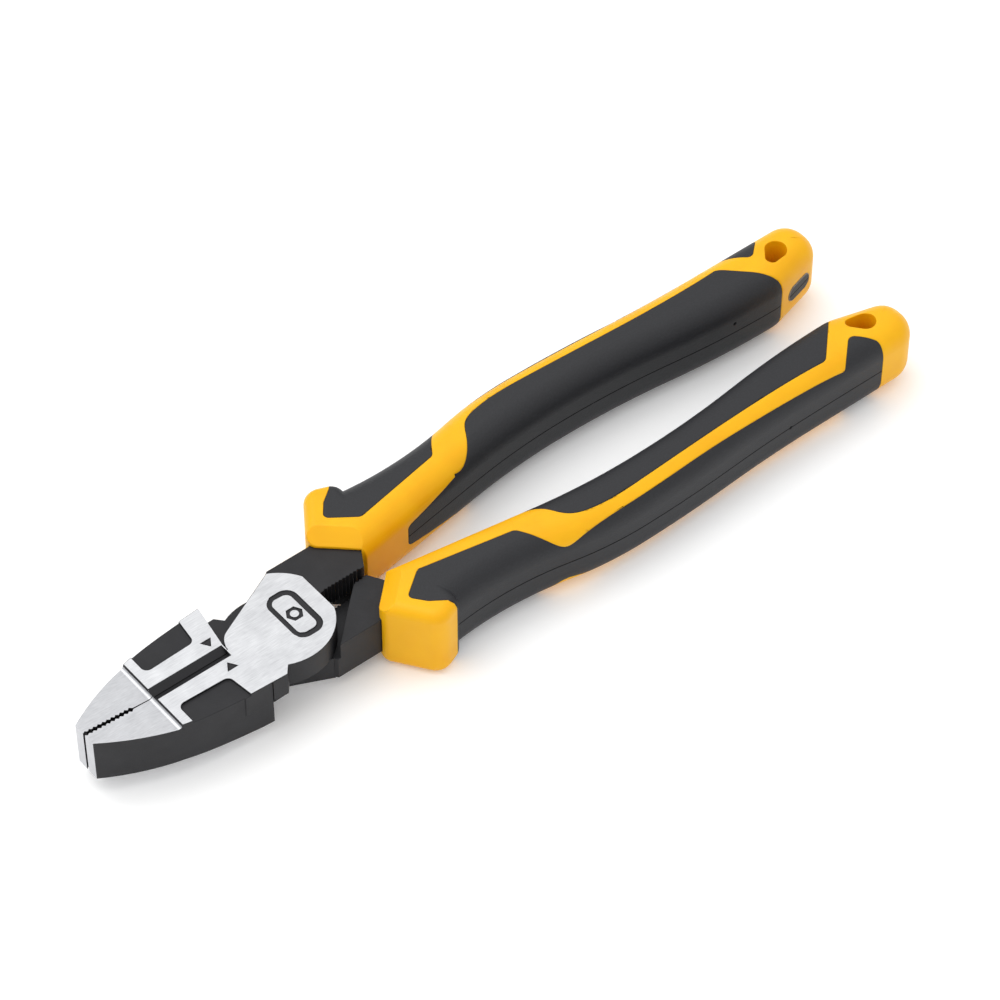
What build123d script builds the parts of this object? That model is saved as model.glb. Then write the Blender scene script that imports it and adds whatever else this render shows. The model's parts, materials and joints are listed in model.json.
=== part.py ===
from build123d import *
from math import cos, radians, sin
import os

os.makedirs("parts", exist_ok=True)

# Lineman pliers, closed, lying on their grips. Millimetres.
# +X runs from the jaws to the handles, +Z is up and the ground is z = 0.
# Outline points are (x, y) from the pivot axis, with y counted outwards from the seam
# of the closed jaws, towards the side on which the piece lies.

# ---- driving dimensions: head --------------------------------------------------------
overall_length = 241.3      # the 9-1/2 in pattern
nose_reach = 55.7           # pivot axis to the tip of the jaws
head_thickness = 14.3       # ground face to ground face
seam_gap = 0.2              # between the gripping faces of the closed jaws
tip_relief = 0.3            # how far each gripping face falls back at the tip
lap_gap = 0.1               # between the two joint plates
turning_gap = 0.35          # round joint plate to the jaw's shoulder

plate_radius = 14.3         # round part of a joint plate
plate_flat = 9.1            # pivot axis to the plate's straight side
plate_flat_angle = 25.3     # that side's lean from the tool's axis, degrees
plate_end = 13.2            # pivot axis to the end of the ground plate
plate_corner = 5.0
jaw_shoulder_angle = 170.0  # direction of the jaw shoulder's normal, degrees
jaw_width = 14.8            # seam to the jaw's flank at the shoulder

nose_length = 19.5          # tip to the step behind the nose
nose_rise = 0.4             # nose above the ground face at the tip
nose_drop = 1.25            # nose below the ground face at the step
nose_fillet = 1.0           # foot of the step
jaw_taper = 1.6             # rise of the jaw's underside towards the nose
jaw_taper_start = 15.5      # pivot axis to the foot of that rise
tip_half_width = 3.5
bevel_width = 2.0           # cutter bevel, seam to its outer edge
bevel_depth = 1.25
bevel_gap = 0.5             # end of the cutter bevel to the round plate
pocket_depth = 0.6          # black recess in the jaw's top face
pocket_round = 1.6
mark_depth = 0.2            # small triangle beside the cutter
plaque_depth = 0.25         # engraved plaque
plaque_length, plaque_width = 15.4, 8.2
plaque_border = 1.3
plaque_round = 3.2
plaque_centre = (4.5, -1.1)
nut_radius, nut_bore = 2.3, 1.1

tooth_pitch = 1.25          # gripping teeth of the nose
tooth_depth = 0.5
tooth_count = 11
puller_pitch = 1.1          # teeth between the arms, for pulling tape
puller_depth = 0.45
puller_count = 10
puller_start = 1.2          # end of the ground plate to the first of them

# ---- driving dimensions: arms and rivet ----------------------------------------------
arm_step = 0.3              # ground face down to the black arm
arm_thickness = 11.5
arm_side = 14.0             # seam to the arm's outer side
arm_side_end = 30.0         # where that side starts to follow the tang
arm_ring = 0.7              # the arm's rounded foot beyond the round plate
arm_inner = 0.4             # seam to the arm's inner side
arm_flare_start = 3.8       # inner side, from the shoulder to where the arms draw apart
arm_flare_end, arm_flare = 6.8, 5.6
arm_shoulder_gap = 1.5      # round joint plate to the arm's shoulder
arm_shoulder_angle = 47.2   # direction of the arm shoulder's normal, degrees
tang_end = 150.0            # pivot axis to the end of the tang
tang_width = 7.5
rivet_radius = 4.2
rivet_clearance = 0.05      # running fit in the lower half
rivet_head_radius = 5.8
rivet_head_depth = 1.8

# ---- driving dimensions: grips -------------------------------------------------------
grip_thickness = 21.2
edge_round = 6.6            # long edges of the grip
end_round = 6.8             # corners of the end cap, seen from above
end_inner_round = 6.2
foot_round = 13.6           # where the inner edge turns to the slanting end
guard_round = 2.9           # edges of the finger guard
guard_slope = 4.2           # length of the guard's sloping front
guard_height = 3.0          # height of that slope
guard_corner_rounds = [3.2, 4.4, 3.8]   # guard seen from above: tip, peak and rear corner
pad_depth = 2.2             # thickness of the soft overmould
hole_radius = 2.9           # lanyard hole, wide end
hole_tail_radius = 1.6      # lanyard hole, narrow end
tongue_tip, tongue_root = 44.6, 62.0    # front tongue of the inner pad, on the grip's side
tongue_tip_height = 7.0
tongue_root_height = 13.4
tongue_round = 1.5
badge_length = 9.6
badge_height = 5.0
badge_round = 2.4
badge_depth = 1.2
badge_proud = 0.2
over = 1.0                  # cutting prisms reach this far past the faces they cut
badge_start = 8.7           # foot of the slanting side to the badge's centre

# ---- derived places ------------------------------------------------------------------
pivot_x = nose_reach - overall_length / 2
grip_end = overall_length - nose_reach
middle = grip_thickness / 2
head_low = middle - head_thickness / 2
head_top = middle + head_thickness / 2
step_x = nose_length - nose_reach
half_seam = seam_gap / 2
bevel_end = plate_radius + bevel_gap
disc_on_arm = plate_radius + arm_ring


def level(height):
    """Sketch plane at a height, with its origin on the pivot axis."""
    return Plane((pivot_x, 0, height))


def side_view(y):
    """Upright sketch plane seen from -Y, with its origin under the pivot axis."""
    return Plane(origin=(pivot_x, y, 0), x_dir=(1, 0, 0), z_dir=(0, -1, 0))


def on_side(points, side):
    """Put points that are counted outwards from the seam on one side of it."""
    return [(x, side * y) for x, y in points]


def x_on_line(reach, angle, y):
    """x at y, on the line that is square to the ray at an angle and reach from the pivot."""
    return (reach - sin(radians(angle)) * y) / cos(radians(angle))


def shoulder_point(y):
    """Point of the jaw's shoulder, which clears the round plate it turns against."""
    return (x_on_line(plate_radius + turning_gap, jaw_shoulder_angle, y), y)


def arm_shoulder_point(y):
    """Point of the arm's shoulder, which clears the other half's plate."""
    return (x_on_line(plate_radius + arm_shoulder_gap, arm_shoulder_angle, y), y)


# ---- outlines of a forged half -------------------------------------------------------
flank = [(-49.0, 7.2), (-43.7, 9.5), (-38.4, 11.3), (-26.0, 13.6)]
neck = [(-20.0, 14.4), (-8.0, 15.0), (-6.1, plate_radius - 1.5), (0, 0),
        (-plate_radius, half_seam), (-20.0, half_seam)]
bridge_corner = [(6.9, 13.3), (7.4, arm_side)]
tang_line = [(46.0, 13.5), (80.0, 19.0), (100.0, 19.5), (tang_end, 17.0)]
pocket = [(-33.5, 17.0), (-33.5, 6.5), (-19.3, 7.0), (-18.0, 17.0)]
mark = [(-18.2, 5.4), (-15.6, 5.4), (-16.9, 3.4)]


def tooth_row(start_x, pitch, count, depth, face_y):
    """Outline that cuts a row of triangular notches into a face along the seam."""
    points = [(start_x, face_y)]
    for i in range(count):
        points.append((start_x + (i + 0.5) * pitch, face_y + depth))
        points.append((start_x + (i + 1) * pitch, face_y))
    return points + [(start_x + count * pitch, face_y - 1), (start_x, face_y - 1)]


def forged_half(jaw_side, plate_is_up):
    """One forging: nose, cutter, joint plate, arm and tang."""
    arm_dir = -jaw_side
    if plate_is_up:
        plate_low, plate_high = middle + lap_gap / 2, head_top
        arm_low = head_top - arm_step - arm_thickness
        bridge_low, bridge_high = plate_low, head_top - arm_step
    else:
        plate_low, plate_high = head_low, middle - lap_gap / 2
        arm_low = head_low + arm_step
        bridge_low, bridge_high = arm_low, plate_high

    with BuildPart() as half:
        # jaw: its plan, met by the side view of the sloping nose and the step behind it
        with BuildSketch(level(head_low)):
            tip_corner = (-nose_reach, tip_half_width)
            with BuildLine():
                Polyline(*on_side([shoulder_point(jaw_width), shoulder_point(bevel_width),
                                   (shoulder_point(bevel_width)[0], half_seam),
                                   (step_x, half_seam), (-nose_reach, half_seam + tip_relief),
                                   tip_corner], jaw_side))
                Spline(*on_side([tip_corner] + flank + [shoulder_point(jaw_width)], jaw_side))
            make_face()
        extrude(amount=head_thickness + nose_rise)
        with BuildSketch(side_view(0)):
            with BuildLine():
                Polyline((0, head_low), (-jaw_taper_start, head_low),
                         (step_x, head_low + jaw_taper), (-nose_reach, head_low + jaw_taper),
                         (-nose_reach, head_top + nose_rise), (step_x, head_top - nose_drop),
                         (step_x, head_top), (0, head_top), close=True)
            make_face()
        extrude(amount=2 * arm_side, both=True, mode=Mode.INTERSECT)
        step_foot = (pivot_x + step_x, 0, head_top - nose_drop)
        fillet(half.edges().filter_by(Axis.Y).sort_by_distance(step_foot)[0], nose_fillet)

        # joint plate: a disc with one straight side, and the neck that joins it to the jaw
        with BuildSketch(level(plate_low)) as plate:
            with Locations((disc_on_arm, arm_dir * disc_on_arm)):
                Rectangle(2 * disc_on_arm, 2 * disc_on_arm)
            Circle(disc_on_arm, mode=Mode.INTERSECT)
            Circle(plate_radius)
            flat_out = plate_flat + plate_radius
            lean = radians(plate_flat_angle)
            flat_centre = (-sin(lean) * flat_out, arm_dir * cos(lean) * flat_out)
            with Locations(Location(flat_centre, arm_dir * plate_flat_angle)):
                Rectangle(4 * plate_radius, 2 * plate_radius, mode=Mode.SUBTRACT)
            with Locations((plate_end + plate_radius, 0)):
                Rectangle(2 * plate_radius, 4 * plate_radius, mode=Mode.SUBTRACT)
            fillet(plate.vertices().sort_by(Axis.X)[0], plate_corner)
            with BuildLine():
                Polyline(*on_side(neck, jaw_side), close=True)
            make_face()
        extrude(amount=plate_high - plate_low)

        # arm with its tang, and the bridge from the plate to the arm
        tang_outer = [(x, y + tang_width / 2) for x, y in tang_line]
        tang_inner = [(x, y - tang_width / 2) for x, y in reversed(tang_line)]
        arm_root = arm_shoulder_point(arm_inner)[0]
        arm = [arm_shoulder_point(arm_side), (arm_side_end, arm_side), *tang_outer, *tang_inner,
               (arm_root + arm_flare_end, arm_flare), (arm_root + arm_flare_start, arm_inner),
               arm_shoulder_point(arm_inner)]
        bridge = [(0, 0), (0, plate_flat), *bridge_corner, arm_shoulder_point(arm_side),
                  arm_shoulder_point(arm_inner), (plate_end, arm_inner)]
        with BuildSketch(level(arm_low)):
            with BuildLine():
                Polyline(*on_side(arm, arm_dir), close=True)
            make_face()
        extrude(amount=arm_thickness)
        with BuildSketch(level(bridge_low)):
            with BuildLine():
                Polyline(*on_side(bridge, arm_dir), close=True)
            make_face()
        extrude(amount=bridge_high - bridge_low)

        # cutter bevels on both ground faces, through the shoulder where no plate joins it
        seam_view = Plane(origin=(pivot_x + step_x, 0, 0), x_dir=(0, 1, 0), z_dir=(1, 0, 0))
        for face, inward, joined in ((head_top, -1, plate_is_up), (head_low, 1, not plate_is_up)):
            with BuildSketch(seam_view):
                with BuildLine():
                    Polyline((-jaw_side, face - inward), (jaw_side * bevel_width, face - inward),
                             (jaw_side * bevel_width, face),
                             (jaw_side * half_seam, face + inward * bevel_depth),
                             (-jaw_side, face + inward * bevel_depth), close=True)
                make_face()
            extrude(amount=-step_x - (bevel_end if joined else plate_radius), mode=Mode.SUBTRACT)

        # gripping teeth of the nose
tooth_depth = 0.5
tooth_count = 11
puller_pitch = 1.1          # teeth between the arms, for pulling tape
puller_depth = 0.45
puller_count = 10
puller_start = 1.2          # end of the ground plate to the first of them

# ---- driving dimensions: arms and rivet ----------------------------------------------
arm_step = 0.3              # ground face down to the black arm
arm_thickness = 11.5
arm_side = 14.0             # seam to the arm's outer side
arm_side_end = 30.0         # where that side starts to follow the tang
arm_ring = 0.7              # the arm's rounded foot beyond the round plate
arm_inner = 0.4             # seam to the arm's inner side
arm_flare_start = 3.8       # inner side, from the shoulder to where the arms draw apart
arm_flare_end, arm_flare = 6.8, 5.6
arm_shoulder_gap = 1.5      # round joint plate to the arm's shoulder
arm_shoulder_angle = 47.2   # direction of the arm shoulder's normal, degrees
tang_end = 150.0            # pivot axis to the end of the tang
tang_width = 7.5
rivet_radius = 4.2
rivet_clearance = 0.05      # running fit in the lower half
rivet_head_radius = 5.8
rivet_head_depth = 1.8

# ---- driving dimensions: grips -------------------------------------------------------
grip_thickness = 21.2
edge_round = 6.6            # long edges of the grip
end_round = 6.8             # corners of the end cap, seen from above
end_inner_round = 6.2
foot_round = 13.6           # where the inner edge turns to the slanting end
guard_round = 2.9           # edges of the finger guard
guard_slope = 4.2           # length of the guard's sloping front
guard_height = 3.0          # height of that slope
guard_corner_rounds = [3.2, 4.4, 3.8]   # guard seen from above: tip, peak and rear corner
pad_depth = 2.2             # thickness of the soft overmould
hole_radius = 2.9           # lanyard hole, wide end
hole_tail_radius = 1.6      # lanyard hole, narrow end
tongue_tip, tongue_root = 44.6, 62.0    # front tongue of the inner pad, on the grip's side
tongue_tip_height = 7.0
tongue_root_height = 13.4
tongue_round = 1.5
badge_length = 9.6
badge_height = 5.0
badge_round = 2.4
badge_depth = 1.2
badge_proud = 0.2
over = 1.0                  # cutting prisms reach this far past the faces they cut
badge_start = 8.7           # foot of the slanting side to the badge's centre

# ---- derived places ------------------------------------------------------------------
pivot_x = nose_reach - overall_length / 2
grip_end = overall_length - nose_reach
middle = grip_thickness / 2
head_low = middle - head_thickness / 2
head_top = middle + head_thickness / 2
step_x = nose_length - nose_reach
half_seam = seam_gap / 2
bevel_end = plate_radius + bevel_gap
disc_on_arm = plate_radius + arm_ring


def level(height):
    """Sketch plane at a height, with its origin on the pivot axis."""
    return Plane((pivot_x, 0, height))


def side_view(y):
    """Upright sketch plane seen from -Y, with its origin under the pivot axis."""
    return Plane(origin=(pivot_x, y, 0), x_dir=(1, 0, 0), z_dir=(0, -1, 0))


def on_side(points, side):
    """Put points that are counted outwards from the seam on one side of it."""
    return [(x, side * y) for x, y in points]


def x_on_line(reach, angle, y):
    """x at y, on the line that is square to the ray at an angle and reach from the pivot."""
    return (reach - sin(radians(angle)) * y) / cos(radians(angle))


def shoulder_point(y):
    """Point of the jaw's shoulder, which clears the round plate it turns against."""
    return (x_on_line(plate_radius + turning_gap, jaw_shoulder_angle, y), y)


def arm_shoulder_point(y):
    """Point of the arm's shoulder, which clears the other half's plate."""
    return (x_on_line(plate_radius + arm_shoulder_gap, arm_shoulder_angle, y), y)


# ---- outlines of a forged half -------------------------------------------------------
flank = [(-49.0, 7.2), (-43.7, 9.5), (-38.4, 11.3), (-26.0, 13.6)]
neck = [(-20.0, 14.4), (-8.0, 15.0), (-6.1, plate_radius - 1.5), (0, 0),
        (-plate_radius, half_seam), (-20.0, half_seam)]
bridge_corner = [(6.9, 13.3), (7.4, arm_side)]
tang_line = [(46.0, 13.5), (80.0, 19.0), (100.0, 19.5), (tang_end, 17.0)]
pocket = [(-33.5, 17.0), (-33.5, 6.5), (-19.3, 7.0), (-18.0, 17.0)]
mark = [(-18.2, 5.4), (-15.6, 5.4), (-16.9, 3.4)]


def tooth_row(start_x, pitch, count, depth, face_y):
    """Outline that cuts a row of triangular notches into a face along the seam."""
    points = [(start_x, face_y)]
    for i in range(count):
        points.append((start_x + (i + 0.5) * pitch, face_y + depth))
        points.append((start_x + (i + 1) * pitch, face_y))
    return points + [(start_x + count * pitch, face_y - 1), (start_x, face_y - 1)]


def forged_half(jaw_side, plate_is_up):
    """One forging: nose, cutter, joint plate, arm and tang."""
    arm_dir = -jaw_side
    if plate_is_up:
        plate_low, plate_high = middle + lap_gap / 2, head_top
        arm_low = head_top - arm_step - arm_thickness
        bridge_low, bridge_high = plate_low, head_top - arm_step
    else:
        plate_low, plate_high = head_low, middle - lap_gap / 2
        arm_low = head_low + arm_step
        bridge_low, bridge_high = arm_low, plate_high

    with BuildPart() as half:
        # jaw: its plan, met by the side view of the sloping nose and the step behind it
        with BuildSketch(level(head_low)):
            tip_corner = (-nose_reach, tip_half_width)
            with BuildLine():
                Polyline(*on_side([shoulder_point(jaw_width), shoulder_point(bevel_width),
                                   (shoulder_point(bevel_width)[0], half_seam),
                                   (step_x, half_seam), (-nose_reach, half_seam + tip_relief),
                                   tip_corner], jaw_side))
                Spline(*on_side([tip_corner] + flank + [shoulder_point(jaw_width)], jaw_side))
            make_face()
        extrude(amount=head_thickness + nose_rise)
        with BuildSketch(side_view(0)):
            with BuildLine():
                Polyline((0, head_low), (-jaw_taper_start, head_low),
                         (step_x, head_low + jaw_taper), (-nose_reach, head_low + jaw_taper),
                         (-nose_reach, head_top + nose_rise), (step_x, head_top - nose_drop),
                         (step_x, head_top), (0, head_top), close=True)
            make_face()
        extrude(amount=2 * arm_side, both=True, mode=Mode.INTERSECT)
        step_foot = (pivot_x + step_x, 0, head_top - nose_drop)
        fillet(half.edges().filter_by(Axis.Y).sort_by_distance(step_foot)[0], nose_fillet)

        # joint plate: a disc with one straight side, and the neck that joins it to the jaw
        with BuildSketch(level(plate_low)) as plate:
            with Locations((disc_on_arm, arm_dir * disc_on_arm)):
                Rectangle(2 * disc_on_arm, 2 * disc_on_arm)
            Circle(disc_on_arm, mode=Mode.INTERSECT)
            Circle(plate_radius)
            flat_out = plate_flat + plate_radius
            lean = radians(plate_flat_angle)
            flat_centre = (-sin(lean) * flat_out, arm_dir * cos(lean) * flat_out)
            with Locations(Location(flat_centre, arm_dir * plate_flat_angle)):
                Rectangle(4 * plate_radius, 2 * plate_radius, mode=Mode.SUBTRACT)
            with Locations((plate_end + plate_radius, 0)):
                Rectangle(2 * plate_radius, 4 * plate_radius, mode=Mode.SUBTRACT)
            fillet(plate.vertices().sort_by(Axis.X)[0], plate_corner)
            with BuildLine():
                Polyline(*on_side(neck, jaw_side), close=True)
            make_face()
        extrude(amount=plate_high - plate_low)

        # arm with its tang, and the bridge from the plate to the arm
        tang_outer = [(x, y + tang_width / 2) for x, y in tang_line]
        tang_inner = [(x, y - tang_width / 2) for x, y in reversed(tang_line)]
        arm_root = arm_shoulder_point(arm_inner)[0]
        arm = [arm_shoulder_point(arm_side), (arm_side_end, arm_side), *tang_outer, *tang_inner,
               (arm_root + arm_flare_end, arm_flare), (arm_root + arm_flare_start, arm_inner),
               arm_shoulder_point(arm_inner)]
        bridge = [(0, 0), (0, plate_flat), *bridge_corner, arm_shoulder_point(arm_side),
                  arm_shoulder_point(arm_inner), (plate_end, arm_inner)]
        with BuildSketch(level(arm_low)):
            with BuildLine():
                Polyline(*on_side(arm, arm_dir), close=True)
            make_face()
        extrude(amount=arm_thickness)
        with BuildSketch(level(bridge_low)):
            with BuildLine():
                Polyline(*on_side(bridge, arm_dir), close=True)
            make_face()
        extrude(amount=bridge_high - bridge_low)

        # cutter bevels on both ground faces
        with BuildSketch(Plane(origin=(pivot_x + step_x, 0, 0), x_dir=(0, 1, 0), z_dir=(1, 0, 0))):
            for face, inward in ((head_top, -1), (head_low, 1)):
                with BuildLine():
                    Polyline((-jaw_side, face - inward), (jaw_side * bevel_width, face - inward),
                             (jaw_side * bevel_width, face),
                             (jaw_side * half_seam, face + inward * bevel_depth),
                             (-jaw_side, face + inward * bevel_depth), close=True)
                make_face()
        extrude(amount=-step_x - bevel_end, mode=Mode.SUBTRACT)

        # gripping teeth of the nose, and the teeth between the arms
        nose_teeth = tooth_row(-nose_reach, tooth_pitch, tooth_count, tooth_depth,
                               half_seam + tip_relief / 2)
        with BuildSketch(level(head_low)):
            with BuildLine():
                Polyline(*on_side(nose_teeth, jaw_side), close=True)
            make_face()
        extrude(amount=head_thickness + nose_rise, mode=Mode.SUBTRACT)
        puller_teeth = tooth_row(plate_end + puller_start, puller_pitch, puller_count,
                                 puller_depth, arm_inner)
        with BuildSketch(level(arm_low)):
            with BuildLine():
                Polyline(*on_side(puller_teeth, arm_dir), close=True)
            make_face()
        extrude(amount=arm_thickness, mode=Mode.SUBTRACT)

        # black pocket and cutter mark in the top face of the jaw
        with BuildSketch(level(head_top)) as recess:
            with BuildLine():
                Polyline(*on_side(pocket, jaw_side), close=True)
            make_face()
            fillet(recess.vertices().sort_by(Axis.Y)[:2] if jaw_side > 0
                   else recess.vertices().sort_by(Axis.Y)[-2:], pocket_round)
        extrude(amount=-pocket_depth, mode=Mode.SUBTRACT)
        with BuildSketch(level(head_top)):
            with BuildLine():
                Polyline(*on_side(mark, jaw_side), close=True)
            make_face()
        extrude(amount=-mark_depth, mode=Mode.SUBTRACT)

        # rivet hole with its countersink: tight in the upper half, running in the lower
        fit = 0 if plate_is_up else rivet_clearance
        with BuildSketch(level(plate_low)):
            Circle(rivet_radius + fit)
        extrude(amount=plate_high - plate_low, mode=Mode.SUBTRACT)
        face, inward = (head_top, -1) if plate_is_up else (head_low, 1)
        with BuildSketch(level(face)):
            Circle(rivet_head_radius + fit)
        with BuildSketch(level(face + inward * rivet_head_depth)):
            Circle(rivet_radius + fit)
        loft(mode=Mode.SUBTRACT)
    return half


upper_half = forged_half(-1, True)
lower_half = forged_half(1, False)

# A plain plaque, a border round a hexagon nut, is engraved across the upper plate and the
# rivet's ground head.
with BuildPart() as engraving:
    with BuildSketch(level(head_top)):
        with Locations(plaque_centre):
            RectangleRounded(plaque_width, plaque_length, plaque_round)
            RectangleRounded(plaque_width - 2 * plaque_border, plaque_length - 2 * plaque_border,
                             plaque_round - plaque_border, mode=Mode.SUBTRACT)
            RegularPolygon(nut_radius, 6)
            Circle(nut_bore, mode=Mode.SUBTRACT)
    extrude(amount=-plaque_depth)

with BuildPart() as forged_half_upper:
    add(upper_half.part)
    add(engraving.part, mode=Mode.SUBTRACT)
forged_half_upper.part.label = "forged_half_upper"
export_step(forged_half_upper.part, "parts/forged_half_upper.step")

forged_half_lower = lower_half
forged_half_lower.part.label = "forged_half_lower"
export_step(forged_half_lower.part, "parts/forged_half_lower.step")

# rivet, formed into both countersinks and ground flush with both faces
with BuildPart() as pivot_rivet:
    with BuildSketch(level(head_low)):
        Circle(rivet_radius)
    extrude(amount=head_thickness)
    for face, inward in ((head_top, -1), (head_low, 1)):
        with BuildSketch(level(face)):
            Circle(rivet_head_radius)
        with BuildSketch(level(face + inward * rivet_head_depth)):
            Circle(rivet_radius)
        loft()
    add(engraving.part, mode=Mode.SUBTRACT)
pivot_rivet.part.label = "pivot_rivet"
export_step(pivot_rivet.part, "parts/pivot_rivet.step")

# ---- outlines of a grip --------------------------------------------------------------
grip_front = 24.0           # front of the body, inside the guard
outer_front_y = 25.95
outer_waist = (48.0, 22.9)  # turning points of the outer and inner edges
outer_swell = (92.0, 27.6)
outer_rest = (grip_end - 35.6, 25.5)
inner_swell = (99.0, 12.3)
inner_rest = (grip_end - 17.6, 8.0)
inner_swell_radius = 195.0
inner_lean = 9.0            # straight front part of the inner edge, degrees
end_inner = (grip_end, 12.8)
end_outer = (grip_end, outer_rest[1])
guard = [(19.4, 14.0), (28.8, 27.5), (36.8, 24.3), (36.8, 12.0), (24.6, 9.2)]
grip_ahead = [(15.0, -2.8), (35.8, -2.8), (29.3, 4.8), guard[-1], (31.0, 14.0), (31.0, 34.0),
              (15.0, 34.0)]
guard_core = [(22.5, 14.0), (31.0, 6.5), (36.0, 6.5), (36.0, 21.5), (30.5, 21.5)]
hole_wide = (grip_end - 12.0, 16.8)
hole_narrow = (grip_end - 15.0, 15.1)
outer_front = [(35.4, 34.0), (35.4, 25.4), (33.4, 23.0), (29.8, 20.4), (26.6, 16.4), (34.0, 10.9),
               (60.0, 15.8)]
outer_stripe = [(63.2, 20.4), (67.5, 24.2), (74.0, 25.2), (92.0, 25.4), (114.0, 24.5),
                (grip_end - 50.6, 24.0), (grip_end - 33.6, 24.2)]
outer_rear = [(grip_end - 25.6, 24.6), (grip_end - 18.8, 18.2), (grip_end - 13.0, 23.4),
              (grip_end - 13.0, 34.0)]
outer_rounds = [(outer_front[4], 1.4), (outer_front[5], 2.0), (outer_front[6], 2.0),
                (outer_rear[0], 1.5), (outer_rear[1], 1.8), (outer_rear[2], 2.4)]
inner_front = [(tongue_root, 0.0), (tongue_root, 9.9)]
inner_stripe = [(67.4, 11.8), (70.2, 15.2), (73.2, 19.6), (79.0, 21.9), (94.0, 22.4),
                (114.0, 21.4), (grip_end - 50.6, 20.6), (grip_end - 35.6, 20.6)]
inner_rear = [(grip_end - 29.0, 20.9), (grip_end - 17.0, 9.0), (grip_end - 17.0, 0.0)]
inner_rounds = [(inner_rear[0], 2.5), (inner_rear[1], 2.2)]


def halfway(start, end):
    """Point where two equal arcs between two turning points meet."""
    return ((start[0] + end[0]) / 2, (start[1] + end[1]) / 2)


def grip_body(side, inset=0.0):
    """Grip without its guard, drawn in by inset on every side."""
    turns = on_side([outer_waist, outer_swell, outer_rest, inner_swell, inner_rest], side)
    waist, swell, rest, hollow, foot = turns
    with BuildPart() as body:
        with BuildSketch(level(inset)) as plan:
            with BuildLine():
                front = TangentArc(waist, (grip_front, side * outer_front_y), tangent=(-1, 0))
                for start, end in ((waist, swell), (swell, rest)):
                    TangentArc(start, halfway(start, end), tangent=(1, 0))
                    TangentArc(end, halfway(start, end), tangent=(-1, 0))
                Polyline(rest, *on_side([end_outer, end_inner], side), foot)
                TangentArc(hollow, halfway(hollow, foot), tangent=(1, 0))
                TangentArc(foot, halfway(hollow, foot), tangent=(-1, 0))
                bend = JernArc(hollow, (-1, 0), inner_swell_radius, side * inner_lean)
                reach = ((bend @ 1).X - grip_front) / cos(radians(inner_lean))
                edge = Line(bend @ 1, bend @ 1 + (bend % 1) * reach)
                Line(edge @ 1, front @ 1)
            make_face()
            for corner, radius in ((end_inner, end_inner_round), (end_outer, end_round)):
                fillet(plan.vertices().sort_by_distance((corner[0], side * corner[1]))[0], radius)
            fillet(plan.vertices().sort_by_distance(foot)[0], foot_round)
            if inset:
                offset(amount=-inset, kind=Kind.INTERSECTION)
        extrude(amount=grip_thickness - 2 * inset)
        if not inset:
            front = body.faces().sort_by(Axis.X)[0]
            flats = body.faces().filter_by(Axis.Z)
            fillet(flats.edges() - front.edges(), edge_round)
    return body


def region_cut(outline_front, outline_middle, outline_rear, rounds, side):
    """Upright prism over the part of the grip that a soft pad covers, corners rounded."""
    with BuildPart() as prism:
        with BuildSketch(level(-over)) as plan:
            with BuildLine():
                Polyline(*on_side(outline_front, side))
                Spline(*on_side([outline_front[-1]] + outline_middle + [outline_rear[0]], side))
                Polyline(*on_side(outline_rear, side))
                Line(*on_side([outline_rear[-1], outline_front[0]], side))
            make_face()
            for (x, y), radius in rounds:
                fillet(plan.vertices().sort_by_distance((x, side * y))[0], radius)
        extrude(amount=grip_thickness + 2 * over)
    return prism


def tongue(side):
    """Prism across the grip over the inner pad's front tongue."""
    with BuildPart() as prism:
        with BuildSketch(side_view(0)) as blade:
            with BuildLine():
                Polyline((tongue_tip, middle - tongue_tip_height / 2),
                         (tongue_tip, middle + tongue_tip_height / 2),
                         (tongue_root, middle + tongue_root_height / 2),
                         (tongue_root, middle - tongue_root_height / 2), close=True)
            make_face()
            fillet(blade.vertices().sort_by(Axis.X)[:2], tongue_round)
        extrude(amount=-side * (inner_front[-1][1] + pad_depth))
    return prism


def grip_form(side):
    """Whole outer form of one grip, solid: body and finger guard, with the lanyard hole."""
    with BuildPart() as body:
        add(grip_body(side).part)
        with BuildSketch(level(0)):
            with BuildLine():
                Polyline(*on_side(grip_ahead, side), close=True)
            make_face()
        extrude(amount=grip_thickness, mode=Mode.SUBTRACT)

    tip, inner = (Vector(pivot_x + x, side * y) for x, y in (guard[0], guard[-1]))
    to_head = (inner - tip).normalized().cross(Vector(0, 0, side))
    with BuildPart() as form:
        # finger guard: a flared, rounded block
        with BuildSketch(level(0)) as plan:
            with BuildLine():
                Polyline(*on_side(guard, side), close=True)
            make_face()
            for (x, y), radius in zip(guard, guard_corner_rounds):
                fillet(plan.vertices().sort_by_distance((x, side * y))[0], radius)
        extrude(amount=grip_thickness)
        flats = form.faces().filter_by(Axis.Z)
        fillet(flats.edges().filter_by(lambda edge: side * edge.center().Y > guard[0][1]),
               guard_round)
        add(body.part)

        # the front slopes back above and below the arm
        with BuildSketch(Plane(origin=tip, x_dir=to_head, z_dir=to_head.cross(Vector(0, 0, 1)))):
            for face, up in ((grip_thickness, 1), (0, -1)):
                with BuildLine():
                    Polyline((-guard_slope, face), (0, face - up * guard_height),
                             (guard_slope, face - 2 * up * guard_height),
                             (guard_slope, face + up), (-guard_slope, face + up), close=True)
                make_face()
        extrude(amount=4 * arm_side, both=True, mode=Mode.SUBTRACT)

        # lanyard hole, wide towards the end
        with BuildSketch(level(0)):
            with Locations((hole_wide[0], side * hole_wide[1])):
                Circle(hole_radius)
            with Locations((hole_narrow[0], side * hole_narrow[1])):
                Circle(hole_tail_radius)
            make_hull()
        extrude(amount=grip_thickness, mode=Mode.SUBTRACT)
    return form


def pad(form, core, region, half):
    """Soft pad: the grip's outer form within a region, down to the hard core."""
    with BuildPart() as soft:
        add(form.part)
        add(region.part, mode=Mode.INTERSECT)
        add(core.part, mode=Mode.SUBTRACT)
        add(half.part, mode=Mode.SUBTRACT)
    return soft


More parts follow.
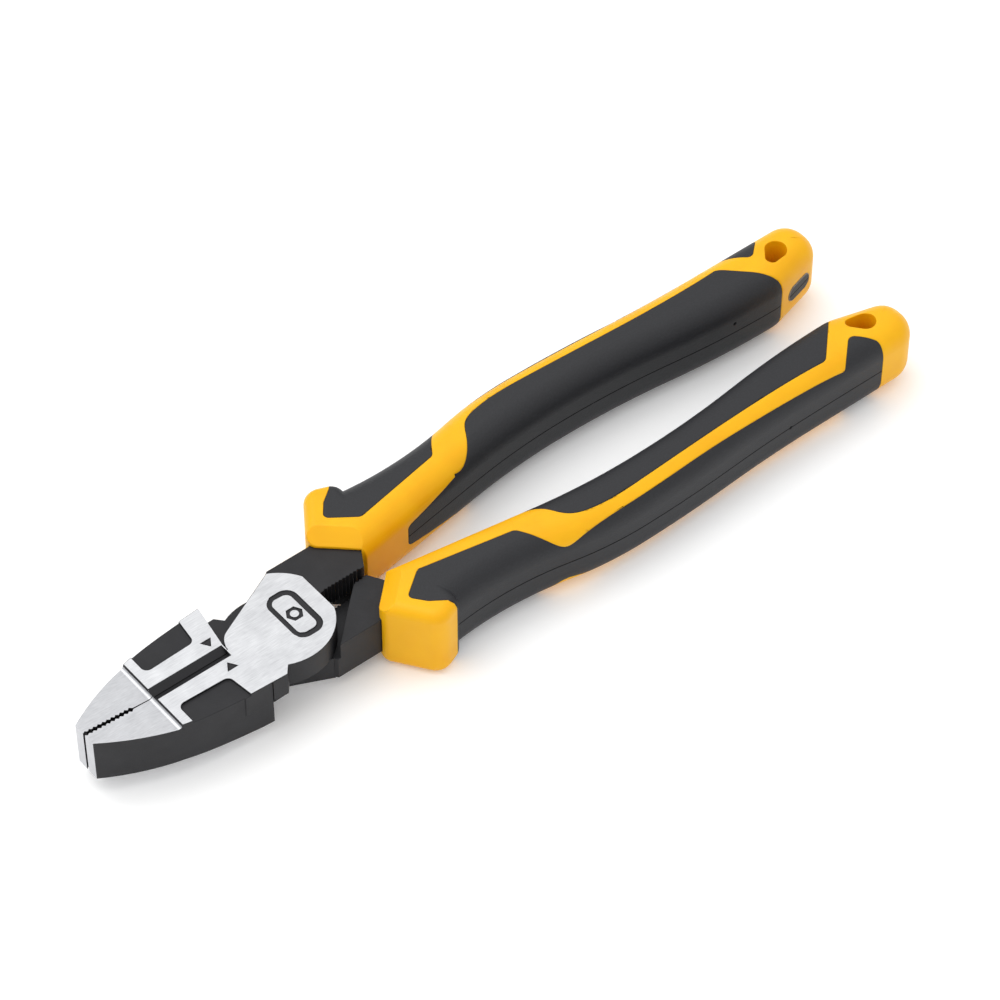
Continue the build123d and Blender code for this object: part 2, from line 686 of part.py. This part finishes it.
def pad_core(side):
    """Hard core that the soft pads are moulded over."""
    with BuildPart() as core:
        add(grip_body(side, pad_depth).part)
        with BuildSketch(level(pad_depth)):
            with BuildLine():
                Polyline(*on_side(guard_core, side), close=True)
            make_face()
        extrude(amount=grip_thickness - 2 * pad_depth)
    return core


def end_badge(side):
    """Small plate let into the slanting inner side of the end cap."""
    start, end = (Vector(pivot_x + x, side * y, middle) for x, y in (inner_rest, end_inner))
    along = (end - start).normalized()
    outward = along.cross(Vector(0, 0, side))
    seat = Plane(origin=start + along * badge_start, x_dir=along, z_dir=outward)
    with BuildPart() as plate:
        with BuildSketch(seat.offset(-badge_depth)):
            RectangleRounded(badge_length, badge_height, badge_round)
        extrude(amount=badge_depth + badge_proud)
    return plate


for name, side, half in (("right", 1, upper_half), ("left", -1, lower_half)):
    form = grip_form(side)
    core = pad_core(side)
    outer_region = region_cut(outer_front, outer_stripe, outer_rear, outer_rounds, side)
    with BuildPart() as inner_region:
        add(region_cut(inner_front, inner_stripe, inner_rear, inner_rounds, side).part)
        add(tongue(side).part)
    outer_pad = pad(form, core, outer_region, half)
    inner_pad = pad(form, core, inner_region, half)
    badge = end_badge(side)
    with BuildPart() as shell:
        add(form.part)
        for piece in (half, outer_pad, inner_pad, badge):
            add(piece.part, mode=Mode.SUBTRACT)
    for piece, label in ((shell, "grip_shell"), (outer_pad, "outer_pad"),
                         (inner_pad, "inner_pad"), (badge, "end_badge")):
        piece.part.label = f"{name}_{label}"
        export_step(piece.part, f"parts/{name}_{label}.step")
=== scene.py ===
# %% [markdown]
# # Lineman pliers, from steel forgings to moulded grips
# The real tool is two steel forgings that turn on a rivet, each with a handle that has been
# moulded in two plastics: a hard yellow one that carries the load, and a soft black one over it.
# The exact solids come in as a fixed frame. This lesson gives each of them what a solid from a
# drawing lacks: softened edges, moulded seams, and a surface made of the right stuff.

# %% The frame
import json
import math

import bmesh
import bpy
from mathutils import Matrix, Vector

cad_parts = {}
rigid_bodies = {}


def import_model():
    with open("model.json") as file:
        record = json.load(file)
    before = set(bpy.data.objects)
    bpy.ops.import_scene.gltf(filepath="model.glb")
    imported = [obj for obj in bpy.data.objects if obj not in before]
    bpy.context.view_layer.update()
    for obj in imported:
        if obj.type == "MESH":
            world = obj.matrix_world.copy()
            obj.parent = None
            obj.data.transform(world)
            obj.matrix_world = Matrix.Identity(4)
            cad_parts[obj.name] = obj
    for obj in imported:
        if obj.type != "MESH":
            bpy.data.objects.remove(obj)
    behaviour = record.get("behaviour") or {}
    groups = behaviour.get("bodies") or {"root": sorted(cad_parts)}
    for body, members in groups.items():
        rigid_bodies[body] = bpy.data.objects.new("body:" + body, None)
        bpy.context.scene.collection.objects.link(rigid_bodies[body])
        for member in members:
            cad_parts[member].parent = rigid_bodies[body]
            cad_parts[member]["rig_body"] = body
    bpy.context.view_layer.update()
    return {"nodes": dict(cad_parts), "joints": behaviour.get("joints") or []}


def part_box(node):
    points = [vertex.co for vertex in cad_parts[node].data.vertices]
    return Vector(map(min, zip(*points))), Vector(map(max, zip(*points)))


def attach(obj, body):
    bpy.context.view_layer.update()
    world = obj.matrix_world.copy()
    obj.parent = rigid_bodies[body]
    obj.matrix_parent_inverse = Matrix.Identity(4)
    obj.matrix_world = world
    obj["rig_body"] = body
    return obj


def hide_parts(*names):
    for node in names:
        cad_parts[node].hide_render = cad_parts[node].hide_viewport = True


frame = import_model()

mm = 0.001
pivot_joint = frame["joints"][0]
pivot = Vector(pivot_joint["pos_m"])
print("pieces in the frame:", sorted(frame["nodes"]))
print("pivot axis at", [round(v / mm, 2) for v in pivot], "mm")

# %% [markdown]
# ## Camera
# The tool is seen from its left and from above, its jaws towards us, through a long lens that
# hardly tapers it. A camera needs a place, a direction and a focal length, so it is set up by
# choosing the point to aim at, the compass bearing and the height of the view, and then
# stepping back along that line.

# %% Camera
view_bearing = math.radians(39.224)
view_height = math.radians(47.618)
view_distance = 0.97444
aim = Vector((0.000407, -0.003683, 0.01775))
level_ahead = Vector((math.sin(view_bearing), math.cos(view_bearing), 0))
ahead = level_ahead * math.cos(view_height) - Vector((0, 0, math.sin(view_height)))

camera_data = bpy.data.cameras.new("camera")
camera_data.sensor_width = 36
camera_data.lens = 144.1
camera = bpy.data.objects.new("camera", camera_data)
camera.location = aim - ahead * view_distance
camera.rotation_euler = ahead.to_track_quat("-Z", "Y").to_euler()
bpy.context.collection.objects.link(camera)
bpy.context.scene.camera = camera
print("camera stands at", [round(v, 4) for v in camera.location])

# %% [markdown]
# ## Node helper
# Every material here is a small graph of nodes. One helper adds a node, sets its sockets and
# links what comes in, so that a recipe reads from top to bottom. Colours are written the way
# paint programs show them, in sRGB hex, while light is added up in linear values, so one
# function turns one into the other.

# %% Helpers for materials


def linear(hex_code):
    """Linear RGBA of an sRGB hex colour."""
    shares = [int(hex_code[i:i + 2], 16) / 255 for i in (1, 3, 5)]
    return [s / 12.92 if s <= 0.04045 else ((s + 0.055) / 1.055) ** 2.4 for s in shares] + [1.0]


def add(material, kind, settings=None, **inputs):
    """Add a node; an input may be a value or another node's output."""
    node = material.node_tree.nodes.new(kind)
    for name, value in (settings or {}).items():
        setattr(node, name, value)
    for name, value in inputs.items():
        socket = node.inputs[int(name[1:]) if name[1:].isdigit() else name.replace("_", " ")]
        if isinstance(value, bpy.types.NodeSocket):
            material.node_tree.links.new(value, socket)
        else:
            socket.default_value = value
    return node


def new_material(name):
    """Empty material with its shader; returns both."""
    material = bpy.data.materials.new(name)
    material.use_nodes = True
    return material, material.node_tree.nodes["Principled BSDF"]


def ramp(material, factor, stops):
    """Colour ramp from (place, hex) stops."""
    node = add(material, "ShaderNodeValToRGB", None, Fac=factor)
    while len(node.color_ramp.elements) < len(stops):
        node.color_ramp.elements.new(0.5)
    for element, (place, shade) in zip(node.color_ramp.elements, stops):
        element.position = place
        element.color = linear(shade)
    return node.outputs["Color"]


# %% [markdown]
# ## Ground steel
# The joint plates, the lands beside the cutter and the nose are ground on a belt or a wheel after
# forging: bare carbon steel, with fine scratches along the way the belt ran. The eye sees a satin
# metal that is a little uneven in brightness. The scratches are about 0.05 mm apart on the real
# surface; that is too fine to show, so they are drawn 0.25 mm apart and long, by squeezing a
# noise pattern along the tool.

# %% Ground steel


def ground_steel(name, run, shade_low, shade_high, gloss):
    """Bare steel with belt scratches that run at an angle to the tool's axis."""
    material, shader = new_material(name)
    place = add(material, "ShaderNodeTexCoord").outputs["Object"]
    turned = add(material, "ShaderNodeMapping", {"vector_type": "POINT"},
                 Vector=place, Rotation=(0, 0, run), Scale=(0.06, 1, 1)).outputs["Vector"]
    scratches = add(material, "ShaderNodeTexNoise", None, Vector=turned,
                    Scale=1 / (0.25 * mm), Detail=4.0, Roughness=0.65).outputs["Fac"]
    clouds = add(material, "ShaderNodeTexNoise", None, Vector=place,
                 Scale=1 / (6 * mm), Detail=3.0, Roughness=0.6).outputs["Fac"]
    both = add(material, "ShaderNodeMix", {"data_type": "FLOAT"},
               Factor=0.35, A=scratches, B=clouds)
    tone = ramp(material, both.outputs["Result"], [(0.3, shade_low), (0.7, shade_high)])
    material.node_tree.links.new(tone, shader.inputs["Base Color"])
    rough = add(material, "ShaderNodeMapRange", None, Value=scratches,
                From_Min=0.3, From_Max=0.7, To_Min=gloss - 0.06, To_Max=gloss + 0.08)
    material.node_tree.links.new(rough.outputs["Result"], shader.inputs["Roughness"])
    shader.inputs["Metallic"].default_value = 1.0
    bump = add(material, "ShaderNodeBump", None, Height=scratches, Strength=0.12,
               Distance=0.05 * mm)
    material.node_tree.links.new(bump.outputs["Normal"], shader.inputs["Normal"])
    return material


plate_steel = ground_steel("ground_carbon_steel_plate", 0.0, "#B2B3B6", "#DCDDDF", 0.42)
nose_steel = ground_steel("ground_carbon_steel_nose", math.radians(75), "#B6B7BA", "#D4D5D8", 0.40)
print("ground steel scratches drawn 0.25 mm apart")

# %% [markdown]
# ## Phosphated steel
# Everything that isn't ground keeps a black phosphate coat: a matte crystal layer that holds oil
# and stops rust. It isn't metallic to the eye but a dark grey with a soft, grainy gloss, and the
# forging under it is slightly uneven. The crystals are far finer than 0.1 mm, so the speckle is
# drawn 0.35 mm wide to show at all.

# %% Phosphated steel
phosphate, shader = new_material("black_phosphated_forged_steel")
place = add(phosphate, "ShaderNodeTexCoord").outputs["Object"]
speckle = add(phosphate, "ShaderNodeTexNoise", None, Vector=place,
              Scale=1 / (0.35 * mm), Detail=3.0, Roughness=0.6).outputs["Fac"]
forging = add(phosphate, "ShaderNodeTexNoise", None, Vector=place,
              Scale=1 / (5 * mm), Detail=2.0, Roughness=0.5).outputs["Fac"]
both = add(phosphate, "ShaderNodeMix", {"data_type": "FLOAT"},
           Factor=0.5, A=speckle, B=forging).outputs["Result"]
tone = ramp(phosphate, both, [(0.3, "#17171A"), (0.7, "#242427")])
phosphate.node_tree.links.new(tone, shader.inputs["Base Color"])
bump = add(phosphate, "ShaderNodeBump", None, Height=speckle, Strength=0.25, Distance=0.05 * mm)
phosphate.node_tree.links.new(bump.outputs["Normal"], shader.inputs["Normal"])
shader.inputs["Roughness"].default_value = 0.5
shader.inputs["Metallic"].default_value = 0.35
print("phosphate speckle drawn 0.35 mm wide")

# %% [markdown]
# ## Hard yellow plastic
# The handle's core is injection moulded in a glass-filled nylon, dyed right through. Its tool was
# spark-eroded, so the skin is a satin of tiny pits instead of a mirror. A little light goes in
# and comes out again, which keeps the shaded side warm and orange.

# %% Yellow nylon
yellow, shader = new_material("moulded_yellow_nylon")
place = add(yellow, "ShaderNodeTexCoord").outputs["Object"]
pits = add(yellow, "ShaderNodeTexNoise", None, Vector=place,
           Scale=1 / (0.3 * mm), Detail=2.0, Roughness=0.5).outputs["Fac"]
flow = add(yellow, "ShaderNodeTexNoise", None, Vector=place,
           Scale=1 / (9 * mm), Detail=2.0, Roughness=0.5).outputs["Fac"]
tone = ramp(yellow, flow, [(0.3, "#F0AE02"), (0.7, "#F4B604")])
yellow.node_tree.links.new(tone, shader.inputs["Base Color"])
bump = add(yellow, "ShaderNodeBump", None, Height=pits, Strength=0.12, Distance=0.05 * mm)
yellow.node_tree.links.new(bump.outputs["Normal"], shader.inputs["Normal"])
shader.inputs["Roughness"].default_value = 0.42
shader.inputs["IOR"].default_value = 1.53
shader.inputs["Specular IOR Level"].default_value = 0.25
shader.inputs["Subsurface Weight"].default_value = 0.12
shader.inputs["Subsurface Radius"].default_value = (1.0, 0.45, 0.12)
shader.inputs["Subsurface Scale"].default_value = 1.2 * mm
print("yellow nylon pits drawn 0.3 mm wide")

# %% [markdown]
# ## Soft black rubber
# The pads are a thermoplastic rubber, moulded over the core. Their tool carries a fine leather
# grain, cells about 0.5 mm across, so they look matte from above and catch a sprinkled light
# along a rounded edge. Where the two halves of that tool met, a thin line is pressed in along the
# middle of each pad's side, and a pit about a millimetre wide marks the place where the rubber
# was let in. Line and pits are painted near black: painted shade in the groove and the pits.

# %% Black rubber
rubber, shader = new_material("overmoulded_black_rubber")
seam_height = 10.6 * mm
gates = [(0.0763, -0.0257, seam_height), (0.0876, 0.0084, 0.0138)]
place = add(rubber, "ShaderNodeTexCoord").outputs["Object"]
cells = add(rubber, "ShaderNodeTexVoronoi", {"feature": "SMOOTH_F1"}, Vector=place,
            Scale=1 / (0.55 * mm), Smoothness=0.6).outputs["Distance"]
fine = add(rubber, "ShaderNodeTexNoise", None, Vector=place,
           Scale=1 / (0.3 * mm), Detail=2.0, Roughness=0.5).outputs["Fac"]
grain = add(rubber, "ShaderNodeMix", {"data_type": "FLOAT"},
            Factor=0.5, A=cells, B=fine).outputs["Result"]
height = add(rubber, "ShaderNodeSeparateXYZ", None, Vector=place).outputs["Z"]
from_line = add(rubber, "ShaderNodeMath", {"operation": "SUBTRACT"}, _0=height,
                _1=seam_height).outputs["Value"]
off_line = add(rubber, "ShaderNodeMath", {"operation": "ABSOLUTE"},
               _0=from_line).outputs["Value"]
flash = add(rubber, "ShaderNodeMapRange", {"interpolation_type": "SMOOTHSTEP"}, Value=off_line,
            From_Min=0.08 * mm, From_Max=0.26 * mm, To_Min=1.0, To_Max=0.0).outputs["Result"]
seam_and_gates = flash
for gate in gates:
    reach = add(rubber, "ShaderNodeVectorMath", {"operation": "DISTANCE"}, _0=place,
                _1=gate).outputs["Value"]
    pit = add(rubber, "ShaderNodeMapRange", {"interpolation_type": "SMOOTHSTEP"}, Value=reach,
              From_Min=0.4 * mm, From_Max=0.7 * mm, To_Min=1.0, To_Max=0.0).outputs["Result"]
    seam_and_gates = add(rubber, "ShaderNodeMath", {"operation": "MAXIMUM"}, _0=seam_and_gates,
                         _1=pit).outputs["Value"]
tone = ramp(rubber, grain, [(0.25, "#121317"), (0.75, "#1B1C21")])
# The seam line and the gate pits are painted near black: painted shade in the groove and the pits.
painted_seam_shade = add(rubber, "ShaderNodeMix", {"data_type": "RGBA"})
rubber.node_tree.links.new(seam_and_gates, painted_seam_shade.inputs["Factor"])
rubber.node_tree.links.new(tone, painted_seam_shade.inputs[6])
painted_seam_shade.inputs[7].default_value = linear("#060607")
rubber.node_tree.links.new(painted_seam_shade.outputs[2], shader.inputs["Base Color"])
bump = add(rubber, "ShaderNodeBump", None, Height=grain, Strength=0.6, Distance=0.1 * mm)
ridge = add(rubber, "ShaderNodeBump", {"invert": True}, Height=seam_and_gates, Strength=0.8,
            Distance=0.12 * mm, Normal=bump.outputs["Normal"])
rubber.node_tree.links.new(ridge.outputs["Normal"], shader.inputs["Normal"])
gloss = add(rubber, "ShaderNodeMapRange", None, Value=seam_and_gates, To_Min=0.5, To_Max=0.05)
rubber.node_tree.links.new(gloss.outputs["Result"], shader.inputs["Specular IOR Level"])
shader.inputs["Roughness"].default_value = 0.55
shader.inputs["IOR"].default_value = 1.5
print("rubber grain drawn 0.55 mm wide")

# %% [markdown]
# ## Painted rim highlight
# The small end plate is the same rubber with a raised edge. Its sides and bevel are painted
# paler, and are smoother than the grained face: a painted highlight along the rim.

# %% Painted rim highlight
highlighted, shader = new_material("grey_rubber_rim_painted_highlight")
place = add(highlighted, "ShaderNodeTexCoord").outputs["Object"]
highlight_mottle = add(highlighted, "ShaderNodeTexNoise", None, Vector=place, Scale=1 / (0.8 * mm)).outputs["Fac"]
tone = ramp(highlighted, highlight_mottle, [(0.3, "#6B655F"), (0.7, "#8E877E")])
highlighted.node_tree.links.new(tone, shader.inputs["Base Color"])
shader.inputs["Roughness"].default_value = 0.4
shader.inputs["IOR"].default_value = 1.5
print("rubbed rim drawn with patches 0.8 mm wide")

# %% [markdown]
# ## Steel pieces
# No edge of a forging is razor sharp: grinding, tumbling and the coating leave each a few tenths
# of a millimetre round, and that is what catches a thin line of light. A copy of each solid is
# welded, its flat faces are cleaned of the drawing's triangles, and its sharp edges are
# bevelled. Then each face is given ground steel or phosphate by where it lies: the grinder
# only reached the top and bottom faces and the nose. A broad ground face keeps a hard edge all
# round, so that its shading stays flat and doesn't fan out from its corners.

# %% Steel pieces
head_low, head_high = (v.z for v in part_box("pivot_rivet"))
nose_step_x = pivot.x - 36.2 * mm
cutter_end_x = pivot.x - 14.6 * mm
nose_start_x = pivot.x - 55 * mm
pivot_zone = 7 * mm
teeth_zone = 1.2 * mm
grind_depth = 0.12 * mm
jaw_depth = 2 * mm
weld = 0.002 * mm
flat_enough = math.radians(0.4)
broad_face = 20 * mm ** 2


def welded_copy(node):
    """A bmesh of a solid's surface, as one closed skin with its flat faces joined up."""
    skin = bmesh.new()
    skin.from_mesh(frame["nodes"][node].data)
    bmesh.ops.remove_doubles(skin, verts=skin.verts, dist=weld)
    bmesh.ops.dissolve_limit(skin, angle_limit=flat_enough, verts=skin.verts, edges=skin.edges)
    return skin


def stand_in(skin, name, node, materials):
    """Object made of a bmesh, riding its node's body in the node's place."""
    mesh = bpy.data.meshes.new(name)
    skin.to_mesh(mesh)
    skin.free()
    for material in materials:
        mesh.materials.append(material)
    piece = bpy.data.objects.new(name, mesh)
    bpy.context.collection.objects.link(piece)
    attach(piece, frame["nodes"][node]["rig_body"])
    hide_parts(node)
    return piece


def ground_face(face):
    """0 for phosphate, 1 for the ground plates and lands, 2 for the ground nose."""
    spot, up = face.calc_center_median(), abs(face.normal.z)
    if abs(face.normal.x) > 0.9 and spot.x < nose_start_x:
        return 2
    if spot.x < nose_step_x + 0.05 * mm and spot.z > head_high - jaw_depth and up > 0.5:
        return 2
    if up < 0.95:
        return 0
    under_jaw = spot.x < cutter_end_x and spot.z < head_low + jaw_depth
    return int(spot.z > head_high - grind_depth or spot.z < head_low + grind_depth or under_jaw)


def steel_piece(node, name, edge):
    """Copy of a forging or rivet with narrow bevels, ground or black by where its faces lie."""
    skin = welded_copy(node)
    sharp = [e for e in skin.edges if len(e.link_faces) == 2
             and e.calc_face_angle() > math.radians(25)
             and (Vector(e.verts[0].co.xy) - pivot.xy).length > pivot_zone
             and (abs(e.verts[0].co.y) > teeth_zone or e.verts[0].co.x > nose_step_x)
             and not any(abs(v.co.x - cutter_end_x) < 0.5 * mm and abs(v.co.y) < 2.4 * mm
                         for v in e.verts)]
    bmesh.ops.bevel(skin, geom=sharp, offset=edge, offset_type="OFFSET", segments=2,
                    profile=0.5, affect="EDGES", clamp_overlap=False, material=-1)
    skin.normal_update()
    for face in skin.faces:
        face.smooth = True
        face.material_index = ground_face(face)
    for e in skin.edges:
        broad = max(face.calc_area() for face in e.link_faces) > broad_face
        e.smooth = e.calc_face_angle(0) < math.radians(3 if broad else 35)
    piece = stand_in(skin, name, node, [phosphate, plate_steel, nose_steel])
    even = piece.modifiers.new("even_faces", "WEIGHTED_NORMAL")
    even.keep_sharp = True
    print(name, len(piece.data.polygons), "faces,", len(sharp), "edges softened")
    return piece


steel_piece("forged_half_upper", "upper_forging", 0.16 * mm)
steel_piece("forged_half_lower", "lower_forging", 0.16 * mm)
steel_piece("pivot_rivet", "rivet", 0.1 * mm)

# %% [markdown]
# ## Moulded grips
# A moulded piece has no sharp edge anywhere: the plastic shrinks a little as it sets, and where
# two plastics meet there is a shallow seam. A narrow bevel on every sharp edge does the same to
# a mesh: the two pieces part by a hair's breadth at the surface and a fine dark line shows
# between them. Flat neighbouring facets are joined first, so that the bevel has clean edges to
# follow, and weighted normals keep the big faces smooth right up to it. Slivers are left
# unbevelled, and a point that the bevel still throws past the solid's top or bottom is put back
# level with it. The end badges get a paler rim on their sides and bevels: a painted highlight.

# %% Moulded grips
shortest = 0.1 * mm
seam_edge = 0.2 * mm
badge_edge = 0.22 * mm


def moulded_piece(node, name, material, edge, rim=None):
    """Copy of a moulded solid with its sharp edges and seams rounded."""
    skin = welded_copy(node)
    sharp = [e for e in skin.edges if len(e.link_faces) == 2
             and e.calc_face_angle() > math.radians(22) and e.calc_length() > shortest
             and min(face.calc_area() for face in e.link_faces) > shortest ** 2]
    low, high = (edge_of([v.co.z for v in skin.verts]) for edge_of in (min, max))
    bmesh.ops.bevel(skin, geom=sharp, offset=edge, offset_type="OFFSET", segments=2,
                    profile=0.5, affect="EDGES", clamp_overlap=False, material=-1)
    for v in skin.verts:
        v.co.z = min(max(v.co.z, low), high)
    skin.normal_update()
    for face in skin.faces:
        face.smooth = True
    # A badge's sides and bevels take the paler rim material: a painted highlight.
    if rim:
        face_out = max(skin.faces, key=lambda face: face.calc_area()).normal.copy()
        for face in skin.faces:
            face.material_index = int(abs(face.normal.dot(face_out)) < 0.95)
    piece = stand_in(skin, name, node, [material, rim] if rim else [material])
    piece.data.set_sharp_from_angle(angle=math.radians(40))
    even = piece.modifiers.new("even_faces", "WEIGHTED_NORMAL")
    even.keep_sharp = True
    print(name, len(piece.data.polygons), "faces,", len(sharp), "edges softened")
    return piece


for side in ("right", "left"):
    moulded_piece(f"{side}_grip_shell", f"{side}_shell", yellow, seam_edge)
    moulded_piece(f"{side}_outer_pad", f"{side}_outer_rubber", rubber, seam_edge)
    moulded_piece(f"{side}_inner_pad", f"{side}_inner_rubber", rubber, seam_edge)
    moulded_piece(f"{side}_end_badge", f"{side}_badge", rubber, badge_edge, highlighted)

# %% [markdown]
# ## Floor and light
# The tool is laid on white paper, under one large soft lamp and white cards all round. The paper
# is a plain pale sheet on a light table, which glows faintly through it and lifts the shadows.
# The cards are the world's white, brighter overhead than at the horizon, because they lean over
# the table: level faces come out bright and upright ones darker. The lamp is a wide area light
# above the far left, so that a faint soft shadow lies on the near side.

# %% Floor and light
paper, shader = new_material("matte_white_paper")
place = add(paper, "ShaderNodeTexCoord").outputs["Object"]
fibre = add(paper, "ShaderNodeTexNoise", None, Vector=place, Scale=1 / (2 * mm)).outputs["Fac"]
tone = ramp(paper, fibre, [(0.3, "#FAFAFA"), (0.7, "#FCFCFC")])
paper.node_tree.links.new(tone, shader.inputs["Base Color"])
shader.inputs["Roughness"].default_value = 0.9
shader.inputs["Emission Color"].default_value = linear("#FFFFFF")
shader.inputs["Emission Strength"].default_value = 0.1

sheet = bmesh.new()
bmesh.ops.create_grid(sheet, x_segments=1, y_segments=1, size=3.0)
floor_mesh = bpy.data.meshes.new("paper_floor")
sheet.to_mesh(floor_mesh)
sheet.free()
floor_mesh.materials.append(paper)
floor = bpy.data.objects.new("paper_floor", floor_mesh)
bpy.context.collection.objects.link(floor)

world = bpy.data.worlds.new("white_cards")
world.use_nodes = True
sky = world.node_tree.nodes["Background"]
sky.inputs["Color"].default_value = linear("#FFFFFF")
way = world.node_tree.nodes.new("ShaderNodeTexCoord")
upward = world.node_tree.nodes.new("ShaderNodeSeparateXYZ")
glow = world.node_tree.nodes.new("ShaderNodeMapRange")
glow.inputs["To Min"].default_value = 0.45
glow.inputs["To Max"].default_value = 1.25
world.node_tree.links.new(way.outputs["Generated"], upward.inputs["Vector"])
world.node_tree.links.new(upward.outputs["Z"], glow.inputs["Value"])
world.node_tree.links.new(glow.outputs["Result"], sky.inputs["Strength"])
bpy.context.scene.world = world


def soft_lamp(name, place, aim_at, size, power):
    """Square area light that faces a point."""
    lamp = bpy.data.lights.new(name, "AREA")
    lamp.shape, lamp.size, lamp.energy = "SQUARE", size, power
    holder = bpy.data.objects.new(name, lamp)
    holder.location = place
    holder.rotation_euler = (Vector(aim_at) - Vector(place)).to_track_quat("-Z", "Y").to_euler()
    bpy.context.collection.objects.link(holder)
    return holder


soft_lamp("overhead_softbox", (-0.30, 0.55, 1.2), (0, 0, 0), 1.3, 7)
bpy.context.scene.view_settings.view_transform = "Standard"
print("floor and lamps ready")
